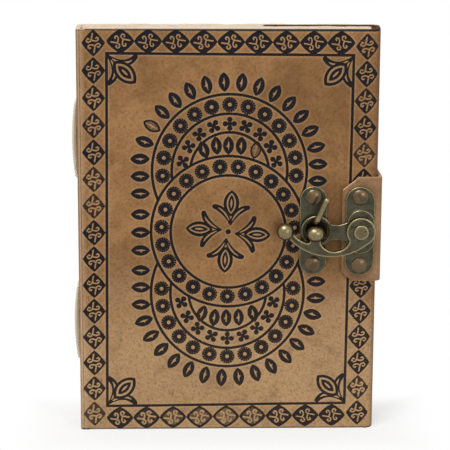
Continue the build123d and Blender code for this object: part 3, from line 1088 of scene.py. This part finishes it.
def upright_leather(name, outline, finish, cell, creases=(), faces_back=False):
    """Leather band: a closed outline in x and y carried up from the tail to the head.

    Where the outline is printed, the points go inwards by the print's depth. The top may rise above the
    head, and wear gives how far each point of the outline has the shade of a cut edge.
    """
    loop, printed, wear, rise = outline
    up = steps(0.0, head_edge, cell)[:, None]
    tangent = unit(np.roll(loop, -1, axis=0) - np.roll(loop, 1, axis=0))
    outward = np.stack([tangent[:, 1], -tangent[:, 0]], -1)
    columns = np.flatnonzero(printed)
    outward[columns[[0, -1]]] = outward[columns[[1, -2]]]
    across = fore_edge - loop[columns, 0] if faces_back else loop[columns, 0] - spine_edge
    tone = np.zeros((len(up), len(loop)))
    tone[:, columns] = border_print(across, head_edge - up[:, 0])
    for from_spine in creases:
        crease = crease_tone * held(1.0 - np.abs(across - from_spine) / crease_half_width)
        tone[:, columns] = np.maximum(tone[:, columns], crease)
    z = up + rise * (up / head_edge) ** rise_power
    plan = loop - outward * (print_depth * tone)[:, :, None]
    points = np.dstack([plan, np.broadcast_to(z, tone.shape)]).reshape(-1, 3)
    ring = np.arange(len(loop))
    caps = (ring[::-1], (len(up) - 1) * len(loop) + ring)
    cut = np.maximum(np.broadcast_to(wear, tone.shape), held((z - head_edge) / top_wear_reach))
    cut[[0, -1]] = 1.0
    # The rim mark gives a painted highlight beside the print
    marks = {"print": tone, "rim": pressed_rim(tone, cell), "cut": cut}
    return add_piece(name, points, grid_quads(len(up), len(loop), True), finish, caps, marks)


def fold_outline():
    """Fore-edge fold of the front cover in plan, round the fold and along the flap, then back on the inside.

    The flap stands a little higher than the cover: the rise grows with depth, round the fold.
    """
    outer = (flap_back - front_face) / 2
    middle = (fold_start, front_face + outer)
    inside_front = front_face + leather
    inner = (flap_front - inside_front) / 2
    inner_middle = (fold_start, inside_front + inner)
    flap_end = fore_edge - flap_reach
    outline = joined(
        arc(middle, outer, -90.0, 90.0, fold_points[0]),
        straight((fold_start, flap_back), (flap_end, flap_back), flap_cell),
        straight((flap_end, flap_front), (fold_start, flap_front), flap_cell),
        arc(inner_middle, inner, 90.0, -90.0, fold_points[1]),
    )
    printed = (np.arange(len(outline)) < fold_printed_points) & (outline[:, 1] < middle[1])
    round_fold = (outline[:, 0] - fold_start) / outer
    wear = fold_wear * held(fold_wear_ramp[0] * round_fold - fold_wear_ramp[1])
    depth = held((outline[:, 1] - middle[1]) / (flap_front - middle[1]))
    return outline, printed, wear, flap_stand * depth * depth * (3 - 2 * depth)


def hinge_outline():
    """Front corner of the spine in plan: from the spine round the corner onto the face, and back inside."""
    corner = (spine_edge + corner_round, front_face + corner_round)
    inside = (spine_edge + leather, front_face + leather)
    outline = joined(
        straight((spine_edge, spine_join), (spine_edge, corner[1]), hinge_side_cell),
        arc(corner, corner_round, 180.0, 270.0, corner_points),
        straight((corner[0], front_face), (panel_start, front_face), print_cell),
        straight((panel_start, inside[1]), (inside[0] + inside_corner, inside[1]), inside_cell),
        straight((inside[0], inside[1] + inside_corner), (inside[0], spine_join), inside_cell),
    )
    printed = (outline[:, 1] < front_face + hinge_printed_depth) & (outline[:, 0] <= panel_start)
    wear = hinge_wear * printed * (panel_start - outline[:, 0]) / (panel_start - spine_edge)
    return outline, printed, wear, 0.0


def back_outline():
    """Spine and back cover in plan: along the back, round the corner, down the spine, and back inside."""
    corner = (spine_edge + corner_round, back_face - corner_round)
    inside = (spine_edge + leather, back_low[1])
    outline = joined(
        straight((fore_edge - edge_round, back_face), (corner[0], back_face), back_cell),
        arc(corner, corner_round, 90.0, 180.0, corner_points),
        straight((spine_edge, corner[1]), (spine_edge, spine_join), back_side_cell),
        straight((inside[0], spine_join), (inside[0], inside[1] - inside_corner), back_side_cell),
        straight((inside[0] + inside_corner, inside[1]), (fore_edge, inside[1]), back_inside_cell),
        straight((fore_edge, back_face - edge_round), (fore_edge - edge_round, back_face), back_side_cell),
    )[:-1]
    printed = (outline[:, 1] > back_face - back_printed_depth) & (outline[:, 0] > corner[0])
    return outline, printed, 0.0, 0.0


panels = [front_panel(number) for number in range(panel_bands)]
fold = upright_leather("front_fold", fold_outline(), flap_leather, print_cell)
hinge = upright_leather("spine_fold", hinge_outline(), back_leather, print_cell, creases_from_spine)
back = upright_leather("spine_and_back", back_outline(), back_leather, back_cell, faces_back=True)
settle(panels[0], "front_cover", "leather", "front_leather")
for piece in (*panels[1:], fold):
    settle(piece, "front_cover", "leather")
settle(back, "book", "leather", "back_leather", "spine_leather")
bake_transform(hinge)


# Leaves


def wander(place, lengths, starts):
    """Line of a deckled edge: two sine waves of unlike length."""
    return np.sin(place / lengths[0] + starts[0]) + np.sin(place / lengths[1] + starts[1])


def folded_sheet(reach, offset, low, high, ragged):
    """One folded sheet of a section, a U in plan carried up from tail to head.

    It runs from the fore-edge to the fold, round a half circle whose radius is its place in the section, and
    back. Its edges wander by sine waves, and all sheets share one slow wave.
    """
    middle = (low[1] + high[1]) / 2
    fold_middle = low[0] + (high[1] - low[1]) / 2
    path = joined(
        straight((reach[0], middle - offset), (fold_middle, middle - offset), leaf_cell),
        arc((fold_middle, middle), offset, 270.0, 90.0, leaf_fold_points),
        straight((fold_middle, middle + offset), (reach[1], middle + offset), leaf_cell),
    )
    tangent = unit(np.gradient(path, axis=0))
    side = np.stack([tangent[:, 1], -tangent[:, 0]], -1) * leaf_thickness / 2
    x, y = path.T
    top = high[2] - deckle * (deckle_mean + deckle_swing * wander(x, head_deckle, ragged[:2]))
    foot = deckle * (deckle_mean + deckle_swing * wander(x, tail_deckle, ragged[2:4]))
    z = foot + (top - foot) * steps(0.0, 1.0, leaf_cell / head_edge)[:, None]
    along = held((x - fold_middle) / (high[0] - fold_middle))
    ragged_x = fore_deckle_swing * deckle * wander(z, fore_deckle, ragged[4:]) * along**fore_deckle_power
    wave = leaf_wave * np.sin(x / leaf_wave_lengths[0] + z / leaf_wave_lengths[1]) * along
    faces = []
    for way in (1.0, -1.0):
        faces.append(np.stack([x + way * side[:, 0] + ragged_x, y + way * side[:, 1] + wave, z], -1))
    sheet = np.concatenate([faces[0], faces[1][:, ::-1]], axis=1)
    rows, columns = sheet.shape[:2]
    ends = np.arange(columns // 2 - 1)
    closing = np.stack([ends, columns - 1 - ends, columns - 2 - ends, ends + 1], -1)
    sides = grid_quads(rows, columns, True)
    quads = np.concatenate([sides, closing[:, ::-1], closing + (rows - 1) * columns])
    return sheet.reshape(-1, 3), quads, ()


def section_leaves(node, body):
    """Folded sheets of one section, one inside the other, each with deckled edges of its own."""
    low, high = box_mm(node)
    depth = high[1] - low[1]
    count = max(2, int(round(depth / 2 / leaf_pitch)))
    random = np.random.default_rng(int(abs((low[1] + high[1]) / 2) * leaf_seed[0]) + leaf_seed[1])
    sheets = []
    for number in range(count):
        reach = high[0] - random.uniform(0.0, leaf_setback, 2)
        ragged = random.uniform(0.0, FULL_TURN, 6)
        sheets.append(folded_sheet(reach, (number + 0.5) * depth / (2 * count), low, high, ragged))
    points, quads, caps = gathered(sheets)
    piece = add_piece(node.replace("signature", "leaves"), points, quads, leaf_paper, caps)
    settle(piece, body, "paper", node)


for node, body in (
    ("signature_1", "front_cover"),
    ("signature_2", "front_leaves"),
    ("signature_3", "middle_leaves"),
    ("signature_4", "book"),
    ("signature_5", "book"),
):
    section_leaves(node, body)


# Sewing


def rope(path, strand_radius, lay_radius):
    """Twisted strands along a path: each strand winds round the path and has a round section."""
    tangent = unit(np.gradient(path, axis=0))
    first = unit(np.cross(tangent, [0.0, 1.0, 0.0]))
    second = np.cross(tangent, first)
    strands = []
    for strand in range(strand_count):
        wind = FULL_TURN * (run_length(path) / strand_turn + strand / strand_count)[:, None]
        middle = path + lay_radius * (np.cos(wind) * first + np.sin(wind) * second)
        strands.append(round_tube(middle, first, second, strand_radius))
    return gathered(strands)


def sewing_thread(node, bow):
    """Two long stitches of one thread: out of one hole, bowed outwards along the spine, and in at the next.

    The bow stands off the spine by a half sine, flattened at its middle.
    """
    low, high = box_mm(node)
    radius = (high[1] - low[1]) / 2
    near = spine_edge - radius * stitch_sink
    stand = bow * (low[0] + radius - near)
    turn = near + stitch_bend
    stitches = []
    for foot, head in stitch_levels:
        run = straight((near, foot + stitch_bend), (near, head - stitch_bend), stitch_cell)
        share = np.linspace(0.0, 1.0, len(run))
        run[:, 0] += stand * np.sin(math.pi * share) ** stitch_bow_power
        plan = joined(
            straight((high[0], foot), (turn, foot), hole_cell),
            arc((turn, foot + stitch_bend), stitch_bend, 270.0, 180.0, stitch_bend_points),
            run,
            arc((turn, head - stitch_bend), stitch_bend, 180.0, 90.0, stitch_bend_points),
            straight((turn, head), (high[0], head), hole_cell),
        )
        path = np.insert(plan, 1, (low[1] + high[1]) / 2, axis=1)
        stitches.append(rope(path, radius * strand_share, radius * lay_share))
    points, quads, caps = gathered(stitches)
    piece = add_piece(node.replace("sewing_", "cotton_"), points, quads, cotton, caps)
    settle(piece, "book", "thread", node)


for number, bow in enumerate(stitch_bows, 1):
    sewing_thread(f"sewing_thread_{number}", bow)


# Strap


def corner_cut(distance, reach, depth):
    """How far an edge comes in over a corner that is cut on a slant."""
    return depth * held(1.0 - distance / reach)


def strap_band():
    """Strap in one piece: a flat rounded section carried along the back, round the fore-edge onto the front.

    Its upper and lower edge run straight, and come in on a slant over each cut corner at the two ends.
    """
    thickness = tail_high[1] - tail_low[1]
    back_level = (tail_low[1] + tail_high[1]) / 2
    side_level = strap_high[0] - thickness / 2
    front_level = strap_low[1] + thickness / 2
    back_bend = (side_level - strap_bend, back_level - strap_bend)
    front_bend = (side_level - strap_bend, front_level + strap_bend)
    path = joined(
        straight((tail_low[0], back_level), (back_bend[0], back_level), strap_cell),
        arc(back_bend, strap_bend, 90.0, 0.0, strap_bend_points),
        straight((side_level, back_bend[1]), (side_level, front_bend[1]), strap_cell),
        arc(front_bend, strap_bend, 0.0, -90.0, strap_bend_points),
        straight((front_bend[0], front_level), (strap_low[0], front_level), strap_cell),
    )
    length = run_length(path)
    from_end = length[-1] - length
    tangent = unit(np.gradient(path, axis=0))
    outward = np.stack([-tangent[:, 1], tangent[:, 0]], -1)
    upper_cut = corner_cut(from_end, *tab_upper_corner)
    lower_cut = corner_cut(from_end, *tab_lower_corner)
    tail_cut = corner_cut(length, *tail_corner)
    upper = strap_high[2] - np.maximum(upper_cut, tail_cut)
    lower = strap_low[2] + np.maximum(lower_cut, tail_cut)
    inner = strap_shoulder + strap_shoulder_reach
    inset = np.array([inner, strap_shoulder, strap_bevel, 0.0, 0.0, strap_bevel, strap_shoulder, inner])
    face = thickness / 2
    side = face - strap_bevel
    out = np.array([face, face, face, side, -side, -face, -face, -face])
    heights = np.concatenate([upper[:, None] - inset, lower[:, None] + inset[::-1]], axis=1)
    outs = np.concatenate([out, out[::-1]])
    plan = path[:, None, :] + outward[:, None, :] * outs[:, None]
    points = np.dstack([plan, heights])
    rows, columns = heights.shape
    edge = np.array(strap_edge_tone)
    pale = held(strap_edge_pale[0] + strap_edge_pale[1] * upper_cut / tab_upper_corner[1])
    dull = np.full(rows, strap_edge_dull)
    cut = np.concatenate([edge * pale[:, None], edge * dull[:, None]], axis=1)
    cut[-1] *= strap_edge_dull
    past_tab = (from_end - strap_tab) / strap_tab_ease
    # Painted highlight where the strap bends round the fore-edge
    bend = held(past_tab + strap_bend_highlight[0]) * held(strap_bend_highlight[1] - past_tab)
    # Painted shade along the lower edge of the tab
    lower_face = np.zeros(columns)
    lower_face[strap_lower_face] = strap_painted_shade
    marks = {
        "print": np.zeros(heights.shape),
        "cut": cut,
        "painted_shade": held(-past_tab)[:, None] * lower_face,
        "rim": np.broadcast_to(bend[:, None], heights.shape),
    }
    ring = np.arange(columns)
    caps = (ring, (rows - 1) * columns + ring[::-1])
    quads = grid_quads(rows, columns, True)[:, ::-1]
    return add_piece("strap_band", points.reshape(-1, 3), quads, band_leather, caps, marks)


strap = strap_band()
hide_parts("strap_leather", "strap_tail")
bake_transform(strap)


def tail_seam():
    """Seam that holds the strap's tail to the back cover: short stitches along a six-sided outline.

    Each stitch is a thin round thread whose middle rises off the leather by a half sine.
    """
    left, right = tail_low[0] + seam_inset, tail_high[0] - seam_inset
    foot, head = strap_low[2] + seam_inset, strap_high[2] - seam_inset
    outline = np.array([
        (right, foot),
        (left + seam_corner, foot),
        (left, foot + seam_corner),
        (left, head - seam_corner),
        (left + seam_corner, head),
        (right, head),
        (right, foot),
    ])
    length = run_length(outline)
    count = int(length[-1] // seam_pitch)
    share = np.linspace(0.0, 1.0, seam_points)
    out = np.array([0.0, 1.0, 0.0])
    y = tail_high[1] - seam_thread_radius + seam_rise * np.sin(math.pi * share)
    stitches = []
    for number in range(count):
        station = number * length[-1] / count + share * seam_stitch
        x, z = [np.interp(station, length, outline[:, axis]) for axis in (0, 1)]
        path = np.stack([x, y, z], -1)
        run = unit(np.gradient(path, axis=0) * (1.0 - out))
        upright = np.broadcast_to(out, run.shape)
        stitches.append(round_tube(path, np.cross(run, out), upright, seam_thread_radius))
    points, quads, caps = gathered(stitches)
    return add_piece("tail_seam", points, quads, cotton, caps)


settle(tail_seam(), "book", "thread")


# Clasp


def mesh_values(items, field, kind=np.float32, width=3):
    """Values of a mesh's points, normals or edges, one row for each."""
    values = np.empty(len(items) * width, dtype=kind)
    items.foreach_get(field, values)
    return values.reshape(-1, width)


def move_points(mesh, points):
    """Puts the points of a mesh at places in millimetres."""
    mesh.vertices.foreach_set("co", (points * MM).astype(np.float32).ravel())
    mesh.update()


def point_places(mesh):
    """Points of a mesh in millimetres."""
    return mesh_values(mesh.vertices, "co") / MM


def rub_marks(mesh, balls, handled):
    """How far each point is rubbed: its outward curve, eased over its neighbours, and all of each ball."""
    points = point_places(mesh)
    count = len(points)
    normals = mesh_values(mesh.vertex_normals, "vector")
    edges = mesh_values(mesh.edges, "vertices", np.int32, 2)
    start, end = np.concatenate([edges, edges[:, ::-1]]).T
    degree = np.maximum(np.bincount(start, minlength=count), 1)
    around = np.stack([np.bincount(start, points[end, axis], count) / degree for axis in range(3)], -1)
    curve = -np.sum((around - points) * normals, axis=1) / metal_cell
    for _ in range(rub_rounds):
        curve = (curve + np.bincount(start, curve[end], count) / degree) / 2
    rubbed = np.clip(handled + curve * rub_gain, rub_floor, 1.0)
    for middle, stretch in balls:
        near = np.linalg.norm((points - np.array(middle)) / stretch, axis=1)
        on_ball = held((ball_radius + knob_rub_edge[0] - near) / knob_rub_edge[1])
        rubbed = np.maximum(rubbed, knob_rub * on_ball)
    return rubbed


def hollow_shade_marks(mesh):
    """How far each point lies in the hollow of the ring, where painted shade darkens the metal."""
    x, y, z = point_places(mesh).T
    away = np.hypot(x - hollow_shade_middle[0], z - hollow_shade_middle[1])
    return held((hollow_shade_radius - away) / hollow_shade_fade) * (y > hollow_shade_level)


def stretch_ball(mesh, middle, stretch):
    """Widens or flattens a ball about its middle, fading out over the metal that it grows from."""
    away = point_places(mesh) - np.array(middle)
    from_middle = np.linalg.norm(away, axis=1)[:, None]
    share = held((ball_radius + knob_stretch_edge - from_middle) / knob_stretch_edge)
    move_points(mesh, np.array(middle) + away * (1.0 + share * (np.array(stretch) - 1.0)))


def cast_piece(node, body, finish, slot, handled, swell, balls):
    """Cast and tumbled metal: the frame's solid on a fine even mesh, its edges eased and rubbed.

    Swell moves the skin out along its normals, to give back what easing takes from a slim piece.
    """
    mesh = bpy.data.meshes.new(node + "_skin")
    solid = bmesh.new()
    solid.from_mesh(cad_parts[node].data)
    bmesh.ops.remove_doubles(solid, verts=solid.verts, dist=weld_distance * MM)
    solid.to_mesh(mesh)
    solid.free()
    rough = bpy.data.objects.new(node + "_skin", mesh)
    bpy.context.scene.collection.objects.link(rough)
    even = rough.modifiers.new("even", "REMESH")
    even.mode = "VOXEL"
    even.voxel_size = metal_cell * MM
    ease = rough.modifiers.new("ease", "SMOOTH")
    ease.factor = ease_factor
    ease.iterations = ease_rounds
    bpy.context.view_layer.update()
    made = bpy.data.meshes.new_from_object(rough.evaluated_get(bpy.context.evaluated_depsgraph_get()))
    bpy.data.objects.remove(rough)
    made.polygons.foreach_set("use_smooth", np.ones(len(made.polygons), dtype=bool))
    move_points(made, point_places(made) + swell * mesh_values(made.vertex_normals, "vector"))
    for middle, stretch in balls:
        stretch_ball(made, middle, stretch)
    # Rubbed wear, and painted shade in the hollow of the ring
    add_marks(made, {"rubbed": rub_marks(made, balls, handled), "ring_hollow_shade": hollow_shade_marks(made)})
    settle(add_object(node + "_cast", made, finish), body, slot, node)


# Cast pieces: node, body, finish, slot, how far it is handled, swell in millimetres, and balls
for node, body, finish, slot, handled, swell, balls in (
    ("catch_plate", "front_cover", aged_brass, "aged_brass", 0.0, 0.0, ()),
    ("catch_horn", "front_cover", aged_brass, "aged_brass", 0.2, 0.22, ()),
    ("catch_rivets", "front_cover", rivet_brass, "rivet_brass", 0.0, 0.12, ()),
    ("hasp", "strap", aged_brass, "aged_brass", 0.0, 0.0, ()),
    ("hasp_rivets", "strap", rivet_brass, "rivet_brass", 0.0, 0.12, ()),
    ("pivot_rivet", "strap", aged_brass, "aged_brass", 0.45, 0.0, ()),
    ("swing_arm", "arm", aged_brass, "aged_brass", 0.3, 0.0, (end_ball, stub_ball)),
):
    cast_piece(node, body, finish, slot, handled, swell, balls)

for node, finish in (
    ("front_board", grey_board),
    ("back_board", grey_board),
    ("catch_rivet_washers", rivet_brass),
    ("hasp_rivet_washers", rivet_brass),
    ("pivot_washer", aged_brass),
):
    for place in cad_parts[node].material_slots:
        place.material = finish


# Floor, backdrop and light


def seen_directly(tree):
    """1 for what the camera, a reflection or a clear body sees, 0 for the light that falls on the object."""
    path = add_node(tree, "ShaderNodeLightPath")
    seen = reckon(tree, "MAXIMUM", path["Is Camera Ray"], path["Is Glossy Ray"])
    return reckon(tree, "MAXIMUM", seen, path["Is Transmission Ray"])


def white_surround():
    """White all round, dimmer for the light that it gives than for the eye."""
    world = bpy.data.worlds.new("white_room")
    bpy.context.scene.world = world
    world.use_nodes = True
    tree = world.node_tree
    level = spread(tree, seen_directly(tree), 0.0, 1.0, *surround_level)
    feed(tree, tree.nodes["Background"], {"Color": white, "Strength": level})


def white_floor():
    """Pale floor that keeps the shadow close round the object and is white further out."""
    finish, tree, shader = new_finish("floor_white")
    feed(tree, shader, {"Base Color": floor_tone, "Roughness": floor_roughness})
    glow = add_node(tree, "ShaderNodeEmission", {"Color": white, "Strength": 1.0})
    spot = add_node(tree, "ShaderNodeSeparateXYZ", {"Vector": own_place(tree)})
    away = 0.0
    for axis in (0, 1):
        middle = (cad_low[axis] + cad_high[axis]) / 2
        from_middle = reckon(tree, "ABSOLUTE", reckon(tree, "SUBTRACT", spot[axis], middle))
        past_box = reckon(tree, "SUBTRACT", from_middle, cad_high[axis] - middle)
        away = reckon(tree, "MAXIMUM", past_box, away)
    share = reckon(tree, "MULTIPLY", seen_directly(tree), spread(tree, away, *floor_shadow))
    surfaces = {"Fac": share, 1: shader.outputs["BSDF"], 2: glow["Emission"]}
    mixed = add_node(tree, "ShaderNodeMixShader", surfaces)["Shader"]
    feed(tree, tree.nodes["Material Output"], {"Surface": mixed})
    near, far = -floor_reach, floor_reach
    corners = [(near, near, 0.0), (far, near, 0.0), (far, far, 0.0), (near, far, 0.0)]
    add_piece("floor", corners, [[0, 1, 2, 3]], finish)


def soft_lamp(name, place, size, power):
    """Square soft light aimed at the object's middle."""
    lamp = bpy.data.lights.new(name, "AREA")
    lamp.energy = power
    lamp.size = size * MM
    holder = bpy.data.objects.new(name, lamp)
    holder.location = [value * MM for value in place]
    towards = Vector([end - start for start, end in zip(place, light_aim)])
    holder.rotation_euler = towards.to_track_quat("-Z", "Y").to_euler()
    bpy.context.scene.collection.objects.link(holder)


def photo_camera():
    """Camera at the solved place and roll, shifted so that the target falls on its pixel."""
    toward = np.array([
        math.sin(camera_azimuth) * math.cos(camera_elevation),
        -math.cos(camera_azimuth) * math.cos(camera_elevation),
        math.sin(camera_elevation),
    ])
    right = unit(np.cross(-toward, [0.0, 0.0, 1.0]))
    upward = np.cross(right, -toward)
    side = math.cos(camera_roll) * right + math.sin(camera_roll) * upward
    top = math.cos(camera_roll) * upward - math.sin(camera_roll) * right
    matrix = np.eye(4)
    matrix[:3] = np.stack([side, top, toward, (np.array(camera_target) + camera_distance * toward) * MM], -1)
    lens = bpy.data.cameras.new("photo_camera")
    lens.sensor_width = sensor_width
    lens.lens = camera_focal_pixels / photo_size * sensor_width
    lens.shift_x = (photo_size / 2 - target_pixel[0]) / photo_size
    lens.shift_y = (target_pixel[1] - photo_size / 2) / photo_size
    lens.clip_end = camera_far
    holder = bpy.data.objects.new("photo_camera", lens)
    holder.matrix_world = matrix.T.tolist()
    bpy.context.scene.collection.objects.link(holder)
    bpy.context.scene.camera = holder


white_surround()
white_floor()
soft_lamp("key_light", *key_light)
soft_lamp("fill_light", *fill_light)
photo_camera()
bpy.context.scene.view_settings.view_transform = "Standard"
